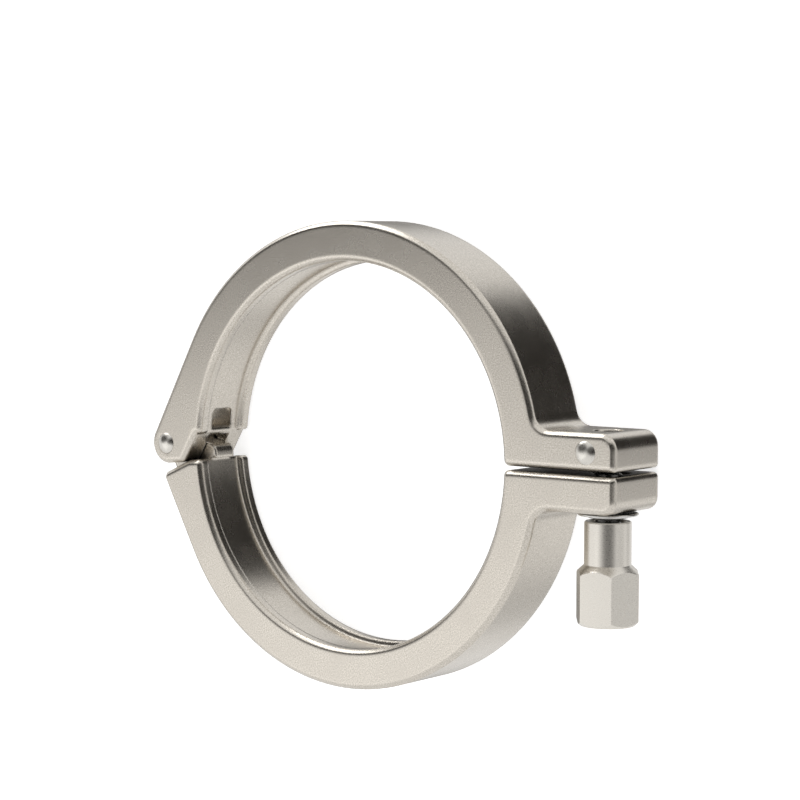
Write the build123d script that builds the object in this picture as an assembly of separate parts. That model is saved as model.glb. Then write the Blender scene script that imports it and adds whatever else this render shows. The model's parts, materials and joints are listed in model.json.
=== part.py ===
from build123d import *
from math import acos, atan2, cos, degrees, hypot, radians, sin, sqrt, tan
import os

# Sanitary hinged clamp for a pair of 4 inch ferrules, millimetres.
# The Z axis is the axis of the ring and the clamp lies on its rear face.
# X points to the lugs, Y to the half that carries the two hinge ears.

# Ring, sized by the flange that its groove closes on
FLANGE_D = 119.0
FLANGE_CLEAR = 0.2
LIP_HEIGHT = 1.6
WALL = 10.3
WIDTH = 24.0
EDGE_BREAK = 1.2

# V-groove that draws the two ferrule flanges together
MOUTH_HALF = 8.0
FLANK_DEG = 20.0

# Lugs
LUG_GAP = 1.2
LUG_TOP = 11.3
LUG_REACH = 25.6
LUG_FACE_CORNER = 1.3
UPPER_LUG_CORNER = 4.5
LOWER_LUG_CORNER = 3.8
LUG_ROOT_ROUND = 5.5
BORE_CORNER = 1.8

# Hinge ears of the upper half
PIN_OUT = 2.2
EAR_R = 6.4
EAR_BORE_Y = 3.6
EAR_BEND_IN = 0.1
EAR_TOE_IN = 6.9
EAR_TOE_DROP = 5.7
EAR_TOE_ROUND = 1.8
EAR_BORE_CORNER = 1.5

# Slot between the ears
SLOT_HALF = 4.45
SLOT_DEPTH = 8.6
SLOT_REACH = 15.95
SLOT_CORNER = 1.8
BRIDGE_END_Y = 2.8

# Tongue and shoulders of the lower half
TONGUE_HALF = 4.1
TONGUE_TOP_Y = -0.65
TONGUE_TOP_SLOPE = -0.23
TONGUE_BORE_CORNER = 2.6
TONGUE_ROOT_DEG = 4.0
SHOULDER_DROP = 8.3
SHOULDER_DEG = 23.5
SHOULDER_BEND_IN = 9.4
SHOULDER_BORE_Y = -4.5
SHOULDER_OUTER_CORNER = 2.0
SHOULDER_BORE_CORNER = 1.5

# Rivet pins, with a dome in front and a flush end behind
HINGE_SHANK_R = 2.5
HINGE_HEAD_R = 3.25
BOLT_PIN_R = 2.25
BOLT_HEAD_R = 3.4
DOME_H = 1.25
PIN_CLEAR = 0.05

# Swing bolt
BOLT_OUT = 16.1
BOLT_Y = 5.75
BOLT_R = 4.0
BOLT_TOP = 4.95
BOLT_TOP_CHAMFER = 1.0
BOLT_LENGTH = 33.75
BOLT_END_CHAMFER = 0.8
BOLT_HOLE_CLEAR = 0.3

# Slotted hole of the lower lug
LUG_SLOT_CLEAR = 0.45
LUG_SLOT_IN = 0.7
LUG_SLOT_OUT = 2.7

# Stepped washer
WASHER_DROP = 0.4
WASHER_T = 0.8
WASHER_RIM = 4.6
HUB_T = 0.6
HUB_RIM = 2.05
WASHER_CHAMFER = 0.25

# Collar nut
NUT_DROP = 1.0
NUT_CLEAR = 0.06
COLLAR_WALL = 2.65
COLLAR_H = 12.3
COLLAR_CHAMFER = 0.35
MOUTH_WALL = 0.9
MOUTH_DEPTH = 2.2
HEX_FLATS = 16.5
HEX_H = 17.2
HEX_TURN_DEG = 50.4
SHOULDER_FALL = 2.6
CROWN_IN = 1.9
CROWN_RISE = 1.6

HALF = WIDTH / 2
GAP = LUG_GAP / 2
FLOOR_R = FLANGE_D / 2 + FLANGE_CLEAR
LIP_R = FLOOR_R - LIP_HEIGHT
OUTER_R = FLOOR_R + WALL
LUG_END_X = OUTER_R + LUG_REACH
BOLT_X = OUTER_R + BOLT_OUT
LUG_BOTTOM = -LUG_TOP
WASHER_TOP = LUG_BOTTOM - WASHER_DROP
NUT_TOP = WASHER_TOP - WASHER_T - HUB_T - NUT_DROP


def polar(radius, angle):
    """A point of the XY plane at an angle in degrees."""
    return Vector(radius * cos(radians(angle)), radius * sin(radians(angle)))


def on_circle(radius, y, side):
    """The point of a circle about the ring axis at height y."""
    return Vector(side * sqrt(radius**2 - y**2), y)


# The straight flank of an ear touches both the ring and the barrel round the hinge pin
PIN_X = -OUTER_R - PIN_OUT
PIN = Vector(PIN_X, 0)
LEAN = degrees(acos((OUTER_R - EAR_R) / -PIN_X))
EAR_NORMAL = 180 - LEAN
TONGUE_NORMAL = 180 + LEAN


def arc_about(centre, radius, start, end):
    """A round stretch from one angle to another, in degrees."""
    mid = (start + end) / 2
    return ThreePointArc(
        centre + polar(radius, start),
        centre + polar(radius, mid),
        centre + polar(radius, end),
    )


def angle_of(point, centre=Vector(0, 0)):
    """Direction of a point from a centre, 0 to 360 degrees."""
    return degrees(atan2(point.Y - centre.Y, point.X - centre.X)) % 360


def round_upright(solid, corner, radius):
    """Round the upright edge of a plate that lies nearest to a point of its outline."""
    uprights = solid.edges().filter_by(Axis.Z)
    nearest = min(uprights, key=lambda e: hypot(e.center().X - corner.X, e.center().Y - corner.Y))
    return fillet(nearest, radius)


def plate(sketch, half_width):
    """An outline made solid to the same depth on both sides of the mid-plane."""
    return extrude(sketch, amount=half_width, both=True)


def break_edges(body):
    """Break the outline edges of the front and rear faces."""
    rim = body.edges().filter_by_position(Axis.Z, HALF, HALF)
    rim += body.edges().filter_by_position(Axis.Z, -HALF, -HALF)
    return chamfer(rim, EDGE_BREAK)


def v_groove():
    """The V-groove cutter: wide mouth, narrow floor, leaning flanks."""
    inside = LIP_R - LIP_HEIGHT
    lean = tan(radians(FLANK_DEG))
    floor_half = MOUTH_HALF - LIP_HEIGHT * lean
    inside_half = MOUTH_HALF + LIP_HEIGHT * lean
    section = Plane.XZ * make_face(Polyline(
        (inside, -inside_half),
        (FLOOR_R, -floor_half),
        (FLOOR_R, floor_half),
        (inside, inside_half),
        close=True,
    ))
    return revolve(section, Axis.Z)


def lug_lines(side):
    """Bore corner, both end corners and ring corner of a lug."""
    start = on_circle(LIP_R, side * GAP, 1)
    gap_end = Vector(LUG_END_X, side * GAP)
    outer_end = Vector(LUG_END_X, side * LUG_TOP)
    root = on_circle(OUTER_R, side * LUG_TOP, 1)
    return start, gap_end, outer_end, root


def upper_plate():
    """The half with the two ears, ear and lug included, as a plate with rounded corners."""
    start, gap_end, outer_end, root = lug_lines(1)
    ring_touch = polar(OUTER_R, EAR_NORMAL)
    barrel_touch = PIN + polar(EAR_R, EAR_NORMAL)
    bore_end = on_circle(LIP_R, EAR_BORE_Y, -1)
    bend = Vector(-FLOOR_R - EAR_BEND_IN, EAR_BORE_Y)
    toe = PIN + Vector(EAR_TOE_IN, -EAR_TOE_DROP)
    toe_reach = (toe - PIN).length
    barrel_end = angle_of(toe, PIN) - degrees(acos(EAR_R / toe_reach))
    outline = make_face([
        Line(start, gap_end),
        Line(gap_end, outer_end),
        Line(outer_end, root),
        arc_about(Vector(0, 0), OUTER_R, angle_of(root), EAR_NORMAL),
        Line(ring_touch, barrel_touch),
        arc_about(PIN, EAR_R, EAR_NORMAL, barrel_end),
        Line(PIN + polar(EAR_R, barrel_end), toe),
        Line(toe, bend),
        Line(bend, bore_end),
        arc_about(Vector(0, 0), LIP_R, angle_of(bore_end), angle_of(start)),
    ])
    body = plate(outline, HALF)
    body = round_upright(body, start, BORE_CORNER)
    body = round_upright(body, gap_end, LUG_FACE_CORNER)
    body = round_upright(body, outer_end, UPPER_LUG_CORNER)
    body = round_upright(body, root, LUG_ROOT_ROUND)
    body = round_upright(body, toe, EAR_TOE_ROUND)
    return round_upright(body, bore_end, EAR_BORE_CORNER)


def lower_plate():
    """The other half up to its two shoulders, lug included, as a plate with rounded corners."""
    start, gap_end, outer_end, root = lug_lines(-1)
    ring_touch = polar(OUTER_R, TONGUE_NORMAL)
    # the shoulder keeps its distance from the pin, so that the ears can swing past it
    along = polar(1, SHOULDER_DEG)
    near_pin = PIN + polar(SHOULDER_DROP, SHOULDER_DEG - 90)
    normal = polar(1, TONGUE_NORMAL)
    run = (OUTER_R - normal.dot(near_pin)) / normal.dot(along)
    outer_corner = near_pin + along * run
    bend = near_pin + along * ((PIN.X + SHOULDER_BEND_IN - near_pin.X) / along.X)
    bore_corner = on_circle(LIP_R, SHOULDER_BORE_Y, -1)
    outline = make_face([
        Line(start, gap_end),
        Line(gap_end, outer_end),
        Line(outer_end, root),
        arc_about(Vector(0, 0), OUTER_R, angle_of(root), TONGUE_NORMAL),
        Line(ring_touch, outer_corner),
        Line(outer_corner, bend),
        Line(bend, bore_corner),
        arc_about(Vector(0, 0), LIP_R, angle_of(bore_corner), angle_of(start)),
    ])
    body = plate(outline, HALF)
    body = round_upright(body, start, BORE_CORNER)
    body = round_upright(body, gap_end, LUG_FACE_CORNER)
    body = round_upright(body, outer_end, LOWER_LUG_CORNER)
    body = round_upright(body, root, LUG_ROOT_ROUND)
    body = round_upright(body, outer_corner, SHOULDER_OUTER_CORNER)
    return round_upright(body, bore_corner, SHOULDER_BORE_CORNER)


def tongue():
    """The tongue that reaches from the ring to the hinge pin between the ears."""
    root_angle = TONGUE_NORMAL + TONGUE_ROOT_DEG
    ring_touch = polar(OUTER_R, TONGUE_NORMAL)
    barrel_touch = PIN + polar(EAR_R, TONGUE_NORMAL)
    top = on_circle(LIP_R, TONGUE_TOP_Y, -1)
    # the top line runs down the slope until it meets the barrel
    slope_dir = Vector(-1, -TONGUE_TOP_SLOPE).normalized()
    rel = top - PIN
    toward = rel.dot(slope_dir)
    run = -toward - sqrt(toward**2 - rel.dot(rel) + EAR_R**2)
    web = top + slope_dir * run
    outline = make_face([
        arc_about(Vector(0, 0), OUTER_R, root_angle, TONGUE_NORMAL),
        Line(ring_touch, barrel_touch),
        arc_about(PIN, EAR_R, TONGUE_NORMAL, angle_of(web, PIN)),
        Line(web, top),
        arc_about(Vector(0, 0), LIP_R, angle_of(top), root_angle),
        Line(polar(LIP_R, root_angle), polar(OUTER_R, root_angle)),
    ])
    body = plate(outline, TONGUE_HALF)
    return round_upright(body, top, TONGUE_BORE_CORNER)


def cylinder_z(centre, radius, low, high):
    """A round bar along Z."""
    disc = Pos(centre.X, centre.Y, low) * Circle(radius)
    return extrude(disc, amount=high - low)


def obround_y(x_in, x_out, half, low, high):
    """A slot with round ends, through a lug along Y."""
    length = x_out - x_in
    face = Plane.XZ.offset(-low) * Pos((x_in + x_out) / 2, 0) * SlotOverall(length, 2 * half)
    return extrude(face, amount=-(high - low))


def bar_y(x, radius, low, high):
    """A round bar along Y."""
    face = Plane.XZ.offset(-low) * Pos(x, 0) * Circle(radius)
    return extrude(face, amount=-(high - low))


def ear_slot():
    """The slot between the ears, milled from outside square to the ear's straight flank."""
    out = polar(1, EAR_NORMAL)
    along = polar(1, EAR_NORMAL - 90)
    bottom = PIN - out * SLOT_DEPTH
    start = bottom - along * 2 * EAR_R
    end = bottom + along * SLOT_REACH
    lift = out * 3 * SLOT_DEPTH
    block = make_face(Polyline(start, end, end + lift, start + lift, close=True))
    cutter = plate(block, SLOT_HALF)
    upright = cutter.edges().filter_by(lambda e: abs((e @ 1 - e @ 0).normalized().dot(out)) > 0.99)
    far = upright.sort_by(lambda e: e.center().dot(along))[-2:]
    cutter = fillet(far, SLOT_CORNER)
    # between the ears the ring ends a little above the tongue
    below = Pos(PIN.X, BRIDGE_END_Y - OUTER_R) * Box(OUTER_R, 2 * OUTER_R, 2 * SLOT_HALF)
    return cutter + below


def upper_half():
    """Half ring with two hinge ears and the lug that carries the bolt."""
    body = break_edges(upper_plate())
    body -= v_groove()
    body -= ear_slot()
    body -= cylinder_z(PIN, HINGE_SHANK_R, -HALF, HALF)
    body -= bar_y(BOLT_X, BOLT_R + BOLT_HOLE_CLEAR, 0, LUG_TOP + 1)
    body -= cylinder_z(Vector(BOLT_X, BOLT_Y), BOLT_PIN_R, -HALF, HALF)
    return body


def lower_half():
    """Half ring with the tongue of the hinge and the slotted lug."""
    body = break_edges(lower_plate())
    body -= v_groove()
    below = Pos(0, SHOULDER_BORE_Y - OUTER_R) * Box(2 * OUTER_R, 2 * OUTER_R, WIDTH)
    body += tongue() - (v_groove() & below)
    body -= cylinder_z(PIN, HINGE_SHANK_R + PIN_CLEAR, -HALF, HALF)
    slot_in = BOLT_X - BOLT_R - LUG_SLOT_IN
    slot_out = BOLT_X + BOLT_R + LUG_SLOT_OUT
    body -= obround_y(slot_in, slot_out, BOLT_R + LUG_SLOT_CLEAR, LUG_BOTTOM - 1, 0)
    return body


def rivet_pin(centre, shank_r, head_r):
    """A pin with a domed head on the front face and a flush rear end."""
    shank = cylinder_z(centre, shank_r, -HALF, HALF)
    ball_r = (head_r**2 + DOME_H**2) / (2 * DOME_H)
    ball = Pos(centre.X, centre.Y, HALF + DOME_H - ball_r) * Sphere(ball_r)
    dome = ball & cylinder_z(centre, head_r, HALF, HALF + 2 * DOME_H)
    return shank + dome


def hinge_pin():
    """The rivet pin of the hinge."""
    return rivet_pin(PIN, HINGE_SHANK_R, HINGE_HEAD_R)


def bolt_pin():
    """The rivet pin on which the bolt hangs."""
    return rivet_pin(Vector(BOLT_X, BOLT_Y), BOLT_PIN_R, BOLT_HEAD_R)


def swing_bolt():
    """Plain-ended bolt hung on its pin in the upper lug, thread towards the nut."""
    top = BOLT_Y + BOLT_TOP
    bolt = bar_y(BOLT_X, BOLT_R, BOLT_Y - BOLT_LENGTH, top)
    bolt = chamfer(bolt.edges().sort_by(Axis.Y)[0], BOLT_END_CHAMFER)
    bolt = chamfer(bolt.edges().sort_by(Axis.Y)[-1], BOLT_TOP_CHAMFER)
    return bolt - cylinder_z(Vector(BOLT_X, BOLT_Y), BOLT_PIN_R + PIN_CLEAR, -HALF, HALF)


def turned_y(*corners):
    """A turned piece round the bolt's line, from the corners of its half section."""
    section = make_face(Polyline(*corners, close=True))
    return Pos(BOLT_X, 0, 0) * revolve(section, Axis.Y)


def washer():
    """Stepped washer that bridges the slotted hole."""
    bore = BOLT_R + BOLT_HOLE_CLEAR
    rim = BOLT_R + WASHER_RIM
    hub = BOLT_R + HUB_RIM
    step = WASHER_TOP - WASHER_T
    end = step - HUB_T
    return turned_y(
        (bore, WASHER_TOP),
        (rim - WASHER_CHAMFER, WASHER_TOP),
        (rim, WASHER_TOP - WASHER_CHAMFER),
        (rim, step + WASHER_CHAMFER),
        (rim - WASHER_CHAMFER, step),
        (hub, step),
        (hub, end + WASHER_CHAMFER),
        (hub - WASHER_CHAMFER, end),
        (bore, end),
    )


def nut():
    """Long hexagon nut with a round collar and a countersunk mouth towards the lug."""
    bore = BOLT_R + NUT_CLEAR
    collar = BOLT_R + COLLAR_WALL
    hex_top = NUT_TOP - COLLAR_H
    hex_end = hex_top - HEX_H
    corner = HEX_FLATS / 2 / cos(radians(30))
    blank = turned_y(
        (bore, NUT_TOP - MOUTH_DEPTH),
        (collar - MOUTH_WALL, NUT_TOP),
        (collar - COLLAR_CHAMFER, NUT_TOP),
        (collar, NUT_TOP - COLLAR_CHAMFER),
        (collar, hex_top),
        (corner, hex_top - SHOULDER_FALL),
        (corner, hex_end + CROWN_RISE),
        (corner - CROWN_IN, hex_end),
        (bore, hex_end),
    )
    hexagon = RegularPolygon(HEX_FLATS / 2, 6, major_radius=False, rotation=HEX_TURN_DEG)
    prism = extrude(Plane.XZ.offset(-hex_end) * Pos(BOLT_X, 0) * hexagon, amount=hex_end - hex_top)
    sleeve = bar_y(BOLT_X, corner, hex_top, NUT_TOP)
    return blank & (prism + sleeve)


PARTS = {
    "upper_half": upper_half,
    "lower_half": lower_half,
    "hinge_pin": hinge_pin,
    "bolt_pin": bolt_pin,
    "swing_bolt": swing_bolt,
    "washer": washer,
    "nut": nut,
}

os.makedirs("parts", exist_ok=True)
for name, make in PARTS.items():
    export_step(make(), f"parts/{name}.step")
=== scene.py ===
import bpy
import bmesh
import json
from math import radians, sin
from mathutils import Euler, Matrix, Vector


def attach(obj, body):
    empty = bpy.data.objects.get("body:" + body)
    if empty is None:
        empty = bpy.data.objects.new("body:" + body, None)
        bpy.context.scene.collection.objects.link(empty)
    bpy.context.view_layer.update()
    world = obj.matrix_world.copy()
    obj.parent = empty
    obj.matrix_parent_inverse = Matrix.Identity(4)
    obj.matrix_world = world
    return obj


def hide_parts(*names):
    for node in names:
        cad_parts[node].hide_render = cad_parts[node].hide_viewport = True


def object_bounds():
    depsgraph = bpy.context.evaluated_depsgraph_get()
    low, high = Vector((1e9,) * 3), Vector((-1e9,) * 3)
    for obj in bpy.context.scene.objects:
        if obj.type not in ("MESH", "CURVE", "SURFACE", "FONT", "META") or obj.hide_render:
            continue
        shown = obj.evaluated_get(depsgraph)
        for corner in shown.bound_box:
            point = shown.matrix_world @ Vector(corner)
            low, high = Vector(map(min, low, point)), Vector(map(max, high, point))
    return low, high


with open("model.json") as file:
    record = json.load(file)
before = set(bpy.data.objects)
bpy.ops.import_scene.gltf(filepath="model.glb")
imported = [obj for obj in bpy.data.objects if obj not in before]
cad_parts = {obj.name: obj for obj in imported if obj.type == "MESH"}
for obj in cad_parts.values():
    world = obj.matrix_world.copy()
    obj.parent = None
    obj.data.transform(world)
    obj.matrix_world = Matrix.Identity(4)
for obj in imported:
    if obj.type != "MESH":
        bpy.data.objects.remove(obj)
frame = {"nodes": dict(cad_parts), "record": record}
cad_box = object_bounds()

MM = 0.001


# Finishes

class Finish:
    """A small helper that adds shader nodes and joins them."""

    def __init__(self, name):
        self.material = bpy.data.materials.new(name)
        self.material.use_nodes = True
        self.tree = self.material.node_tree
        self.shader = self.tree.nodes["Principled BSDF"]
        self.coords = self.add("ShaderNodeTexCoord")

    def add(self, kind, **settings):
        node = self.tree.nodes.new(kind)
        for key, value in settings.items():
            setattr(node, key, value)
        return node

    def join(self, source, output, target, entry):
        self.tree.links.new(source.outputs[output], target.inputs[entry])

    def noise(self, size_mm, detail=3.0, stretch=(1, 1, 1)):
        """Noise whose grains are about size_mm across."""
        mapping = self.add("ShaderNodeMapping")
        mapping.inputs["Scale"].default_value = stretch
        self.join(self.coords, "Object", mapping, "Vector")
        noise = self.add("ShaderNodeTexNoise")
        noise.inputs["Scale"].default_value = 1 / (size_mm * MM)
        noise.inputs["Detail"].default_value = detail
        self.join(mapping, "Vector", noise, "Vector")
        return noise

    def ramp(self, source, low, high, colours):
        ramp = self.add("ShaderNodeValToRGB")
        ramp.color_ramp.elements[0].position = low
        ramp.color_ramp.elements[1].position = high
        ramp.color_ramp.elements[0].color = (*colours[0], 1)
        ramp.color_ramp.elements[1].color = (*colours[1], 1)
        self.join(source, "Fac", ramp, "Fac")
        return ramp

    def spread(self, source, low, high):
        """Map a noise to a range of values."""
        spread = self.add("ShaderNodeMapRange")
        spread.inputs["From Min"].default_value = 0.3
        spread.inputs["From Max"].default_value = 0.7
        spread.inputs["To Min"].default_value = low
        spread.inputs["To Max"].default_value = high
        self.join(source, "Fac", spread, "Value")
        return spread

    def rounding(self, radius_mm):
        """Shade the edges as if they were rounded to a radius."""
        soft = self.add("ShaderNodeBevel", samples=16)
        soft.inputs["Radius"].default_value = radius_mm * MM
        return soft

    def add_painted_shade(self, colour, reach_mm, depth):
        """Paint shade into a colour: darken it in narrow gaps and corners, as far as reach_mm from a
        wall.
        """
        nook = self.add("ShaderNodeAmbientOcclusion", samples=8)
        nook.inputs["Distance"].default_value = reach_mm * MM
        fade = self.add("ShaderNodeMapRange")
        fade.inputs["From Min"].default_value = 0.0
        fade.inputs["From Max"].default_value = 0.6
        fade.inputs["To Min"].default_value = 1.0 - depth
        self.join(nook, "AO", fade, "Value")
        dim = self.add("ShaderNodeMix", data_type="RGBA", blend_type="MULTIPLY")
        dim.inputs["Factor"].default_value = 1.0
        self.join(colour, "Color", dim, "A")
        self.join(fade, "Result", dim, "B")
        self.join(dim, "Result", self.shader, "Base Color")

    def bump(self, source, depth_mm, strength, before=None):
        bump = self.add("ShaderNodeBump")
        bump.inputs["Distance"].default_value = depth_mm * MM
        bump.inputs["Strength"].default_value = strength
        self.join(source, "Fac", bump, "Height")
        if before:
            self.join(before, "Normal", bump, "Normal")
        return bump


EDGE_ROUND_MM = 1.4


def blasted_steel():
    """Cast stainless steel, bead-blasted to a fine even grain."""
    steel = Finish("blasted_steel")
    steel.shader.inputs["Metallic"].default_value = 1.0
    clouds = steel.noise(9.0)
    grain = steel.noise(0.4, detail=3.0)
    colour = steel.ramp(grain, 0.3, 0.7, ((0.51, 0.475, 0.42), (0.73, 0.681, 0.61)))
    # painted shade: the grain colour is darkened in gaps, slots and corners
    steel.add_painted_shade(colour, 3.0, 0.95)
    rough = steel.spread(clouds, 0.25, 0.29)
    steel.join(rough, "Result", steel.shader, "Roughness")
    soft = steel.rounding(EDGE_ROUND_MM)
    waves = steel.bump(clouds, 0.02, 0.1, before=soft)
    pits = steel.bump(grain, 0.02, 0.5, before=waves)
    steel.join(pits, "Normal", steel.shader, "Normal")
    return steel.material


def turned_steel(name, colours, roughness, grain_mm, stretch, depth):
    """Machined stainless steel with fine tool marks."""
    steel = Finish(name)
    steel.shader.inputs["Metallic"].default_value = 1.0
    marks = steel.noise(grain_mm, detail=4.0, stretch=stretch)
    colour = steel.ramp(marks, 0.3, 0.7, colours)
    # painted shade: the tool-mark colour is darkened in gaps and corners
    steel.add_painted_shade(colour, 2.5, 0.9)
    rough = steel.spread(marks, *roughness)
    steel.join(rough, "Result", steel.shader, "Roughness")
    ridges = steel.bump(marks, 0.01, depth)
    steel.join(ridges, "Normal", steel.shader, "Normal")
    return steel.material


CAST = blasted_steel()
NUT = turned_steel("satin_nut_steel", ((0.66, 0.63, 0.575), (0.81, 0.77, 0.705)),
                   (0.26, 0.34), 0.5, (1, 3, 1), 0.25)
PIN = turned_steel("polished_pin_steel", ((0.66, 0.635, 0.59), (0.72, 0.695, 0.645)),
                   (0.26, 0.32), 0.8, (1, 1, 1), 0.1)
BOLT = turned_steel("bolt_steel", ((0.62, 0.61, 0.59), (0.70, 0.69, 0.67)),
                    (0.20, 0.30), 0.3, (1, 4, 1), 0.2)


# Pieces

def refined(node, finish, edge_mm, steps=3, sharp_deg=24, reshape=None):
    """A finer copy of a solid, with its sharp edges rounded, in place of the solid."""
    source = frame["nodes"][node]
    shape = bmesh.new()
    shape.from_mesh(source.data)
    bmesh.ops.remove_doubles(shape, verts=shape.verts, dist=0.002 * MM)
    bmesh.ops.dissolve_limit(shape, angle_limit=radians(0.4), verts=shape.verts, edges=shape.edges)
    sharp = [e for e in shape.edges if e.is_manifold and e.calc_face_angle() > radians(sharp_deg)]
    bmesh.ops.bevel(shape, geom=sharp, offset=edge_mm * MM, offset_type="OFFSET", segments=steps,
                    profile=0.5, affect="EDGES", clamp_overlap=True, material=-1)
    bmesh.ops.triangulate(shape, faces=[f for f in shape.faces if len(f.verts) > 4])
    if reshape:
        reshape(shape)
    mesh = bpy.data.meshes.new(node + "_rounded")
    shape.to_mesh(mesh)
    shape.free()
    mesh.shade_smooth()
    mesh.set_sharp_from_angle(angle=radians(40))
    piece = bpy.data.objects.new(node + "_rounded", mesh)
    bpy.context.scene.collection.objects.link(piece)
    mesh.materials.clear()
    mesh.materials.append(finish)
    even = piece.modifiers.new("even_normals", "WEIGHTED_NORMAL")
    even.keep_sharp = True
    even.weight = 90
    body = next(name for name, nodes in BODIES.items() if node in nodes)
    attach(piece, body)
    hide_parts(node)
    return piece


BOLT_X = 86.1 * MM
BOLT_CREST = 4.0 * MM
BOLT_ROOT = 3.4 * MM
THREAD_TOP = 1.5 * MM
THREAD_END = -27.0 * MM
PITCH = 1.25 * MM


def cut_thread(shape):
    """Turn the lower shank down to the root and wind a thread ridge round it."""
    for height in (THREAD_TOP, THREAD_TOP - 0.3 * MM):
        bmesh.ops.bisect_plane(shape, geom=shape.verts[:] + shape.edges[:] + shape.faces[:],
                               plane_co=(0, height, 0), plane_no=(0, 1, 0))
    for vert in shape.verts:
        if vert.co.y < THREAD_TOP - 0.2 * MM:
            vert.co.x = BOLT_X + (vert.co.x - BOLT_X) * BOLT_ROOT / BOLT_CREST
            vert.co.z *= BOLT_ROOT / BOLT_CREST
    section = [(BOLT_ROOT - 0.02 * MM, 0.55 * MM), (BOLT_CREST, 0.08 * MM),
               (BOLT_CREST, -0.08 * MM), (BOLT_ROOT - 0.02 * MM, -0.55 * MM)]
    corners = [shape.verts.new((BOLT_X + out, THREAD_TOP - PITCH + up, 0)) for out, up in section]
    profile = [shape.edges.new(pair) for pair in zip(corners, corners[1:])]
    turns = (THREAD_TOP - PITCH - THREAD_END) / PITCH
    steps = int(turns * 28)
    bmesh.ops.spin(shape, geom=corners + profile, cent=(BOLT_X, 0, 0), axis=(0, 1, 0),
                   dvec=(0, (THREAD_END - THREAD_TOP + PITCH) / steps, 0),
                   angle=radians(360 * turns), steps=steps)
    bmesh.ops.recalc_face_normals(shape, faces=shape.faces)


BODIES = frame["record"]["behaviour"]["bodies"]
refined("upper_half", CAST, 0.3)
refined("lower_half", CAST, 0.3)
refined("hinge_pin", PIN, 0.12)
refined("bolt_pin", PIN, 0.12)
refined("swing_bolt", BOLT, 0.15, reshape=cut_thread)
refined("washer", BOLT, 0.1)
refined("nut", NUT, 0.3)


# Studio

def lamp(name, place, target, size, power, colour=(1, 1, 1)):
    """A soft rectangular lamp aimed at a point."""
    light = bpy.data.lights.new(name, "AREA")
    light.shape = "RECTANGLE"
    light.size, light.size_y = size
    light.energy = power
    light.color = colour
    holder = bpy.data.objects.new(name, light)
    holder.location = place
    holder.rotation_euler = (Vector(target) - Vector(place)).to_track_quat("-Z", "Y").to_euler()
    holder.visible_camera = False
    bpy.context.scene.collection.objects.link(holder)
    return holder


def studio_floor():
    """A large pale floor just under the clamp."""
    ground = bmesh.new()
    bmesh.ops.create_grid(ground, x_segments=1, y_segments=1, size=3.0)
    bmesh.ops.translate(ground, verts=ground.verts, vec=(0, 0, cad_box[0][2] - 0.0002))
    mesh = bpy.data.meshes.new("studio_floor")
    ground.to_mesh(mesh)
    ground.free()
    floor = bpy.data.objects.new("studio_floor", mesh)
    bpy.context.scene.collection.objects.link(floor)
    paint = Finish("floor_paint")
    speckle = paint.noise(4.0)
    colour = paint.ramp(speckle, 0.3, 0.7, ((0.93, 0.93, 0.93), (0.95, 0.95, 0.95)))
    paint.join(colour, "Color", paint.shader, "Base Color")
    paint.shader.inputs["Roughness"].default_value = 0.9
    paint.shader.inputs["Specular IOR Level"].default_value = 0.1
    mesh.materials.append(paint.material)
    path = paint.add("ShaderNodeLightPath")
    glow = paint.add("ShaderNodeMath", operation="MULTIPLY")
    glow.inputs[1].default_value = 0.75
    paint.join(path, "Is Camera Ray", glow, 0)
    paint.join(glow, "Value", paint.shader, "Emission Strength")
    paint.shader.inputs["Emission Color"].default_value = (1, 1, 1, 1)
    floor.visible_glossy = False


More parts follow.
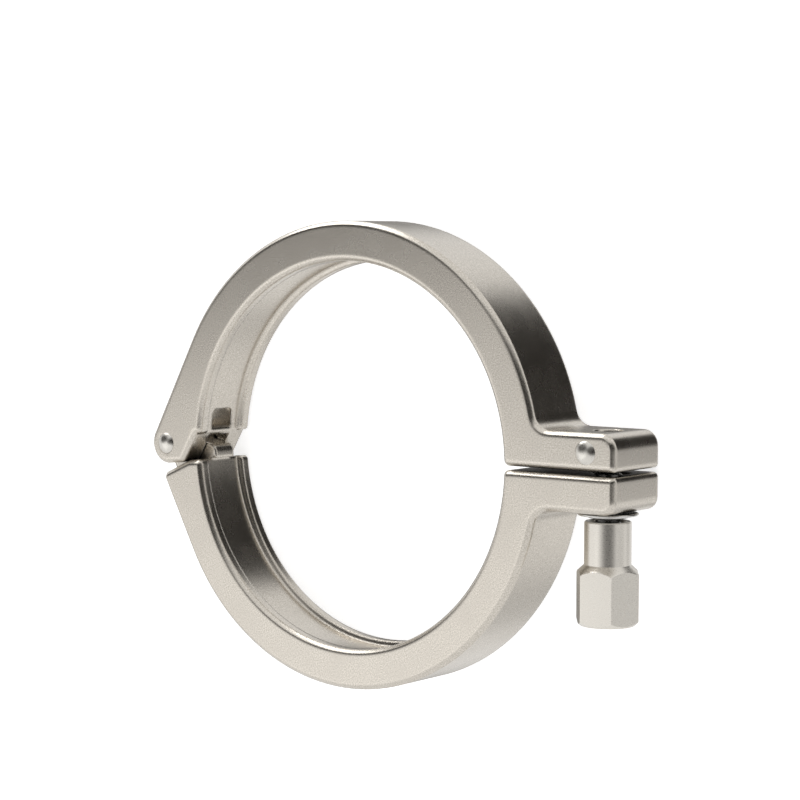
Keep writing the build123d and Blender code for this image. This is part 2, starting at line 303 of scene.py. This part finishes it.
def studio_world():
    """A pale room with a few dark patches, which the steel mirrors as dark edges."""
    world = bpy.data.worlds.new("studio")
    bpy.context.scene.world = world
    world.use_nodes = True
    tree = world.node_tree
    background = tree.nodes["Background"]
    coords = tree.nodes.new("ShaderNodeTexCoord")

    def patch(direction, near_deg, far_deg, value, flatten=1.0):
        """Fade from a grey to the plain level away from a direction, wider than tall if flattened."""
        middle = Vector(direction).normalized()
        scaled = tree.nodes.new("ShaderNodeVectorMath")
        scaled.operation = "SUBTRACT"
        tree.links.new(coords.outputs["Generated"], scaled.inputs[0])
        scaled.inputs[1].default_value = middle
        shape = tree.nodes.new("ShaderNodeVectorMath")
        shape.operation = "MULTIPLY"
        shape.inputs[1].default_value = (1, flatten, 1)
        tree.links.new(scaled.outputs["Vector"], shape.inputs[0])
        span = tree.nodes.new("ShaderNodeVectorMath")
        span.operation = "LENGTH"
        tree.links.new(shape.outputs["Vector"], span.inputs[0])
        fade = tree.nodes.new("ShaderNodeMapRange")
        fade.interpolation_type = "SMOOTHSTEP"
        fade.inputs["From Min"].default_value = 2 * sin(radians(near_deg) / 2)
        fade.inputs["From Max"].default_value = 2 * sin(radians(far_deg) / 2)
        fade.inputs["To Min"].default_value = value
        fade.inputs["To Max"].default_value = 1.0
        tree.links.new(span.outputs["Value"], fade.inputs["Value"])
        return fade

    total = None
    for arguments in PATCHES:
        level = patch(*arguments)
        if total is None:
            total = level.outputs["Result"]
            continue
        times = tree.nodes.new("ShaderNodeMath")
        times.operation = "MULTIPLY"
        tree.links.new(total, times.inputs[0])
        tree.links.new(level.outputs["Result"], times.inputs[1])
        total = times.outputs[0]
    room = tree.nodes.new("ShaderNodeMix")
    room.data_type = "RGBA"
    tree.links.new(total, room.inputs["Factor"])
    room.inputs["A"].default_value = (*ROOM_DARK, 1)
    room.inputs["B"].default_value = (*ROOM_PALE, 1)
    path = tree.nodes.new("ShaderNodeLightPath")
    seen = tree.nodes.new("ShaderNodeMix")
    seen.data_type = "RGBA"
    tree.links.new(path.outputs["Is Camera Ray"], seen.inputs["Factor"])
    tree.links.new(room.outputs["Result"], seen.inputs["A"])
    seen.inputs["B"].default_value = (1, 1, 1, 1)
    tree.links.new(seen.outputs["Result"], background.inputs["Color"])
    background.inputs["Strength"].default_value = 1.0


ROOM_DARK = (0.024, 0.022, 0.020)
ROOM_PALE = (0.95, 0.95, 0.95)
PATCHES = [
    ((0.48, 0.38, -0.79), 22, 33, 0.0),
    ((-0.66, 0.34, 0.68), 23, 46, 0.03, 1.5),
    ((0.57, 0.20, 0.79), 32, 51, 0.0, 1.5),
    ((-0.62, 0.00, -0.78), 14, 28, 0.15),
    ((0.08, -0.57, -0.81), 4, 17, 0.65),
    ((0.98, -0.12, -0.16), 12, 28, 0.70),
]
studio_world()
studio_floor()
lamp("key", (-0.20, -0.10, 0.26), (0, -0.02, 0), (0.26, 0.26), 0.075)
lamp("top", (-0.40, 0.58, 0.08), (0, 0, 0), (0.45, 0.35), 1.5)

lamp("nut", (-0.004, -0.07, 0.24), (0.086, -0.04, 0.0), (0.08, 0.08), 0.008)


# Camera

def camera():
    """The photograph's view of the clamp as it lies on its rear face."""
    lens = bpy.data.cameras.new("camera")
    lens.sensor_width = 36
    lens.lens = 2379.4 / 800 * 36
    lens.clip_start = 0.05
    holder = bpy.data.objects.new("camera", lens)
    holder.location = (0.44647, 0.064085, 0.55972)
    holder.rotation_euler = Euler((radians(-3.7215), radians(37.8149), radians(0.1782)))
    bpy.context.scene.collection.objects.link(holder)
    bpy.context.scene.camera = holder


camera()
bpy.context.scene.view_settings.view_transform = "Standard"
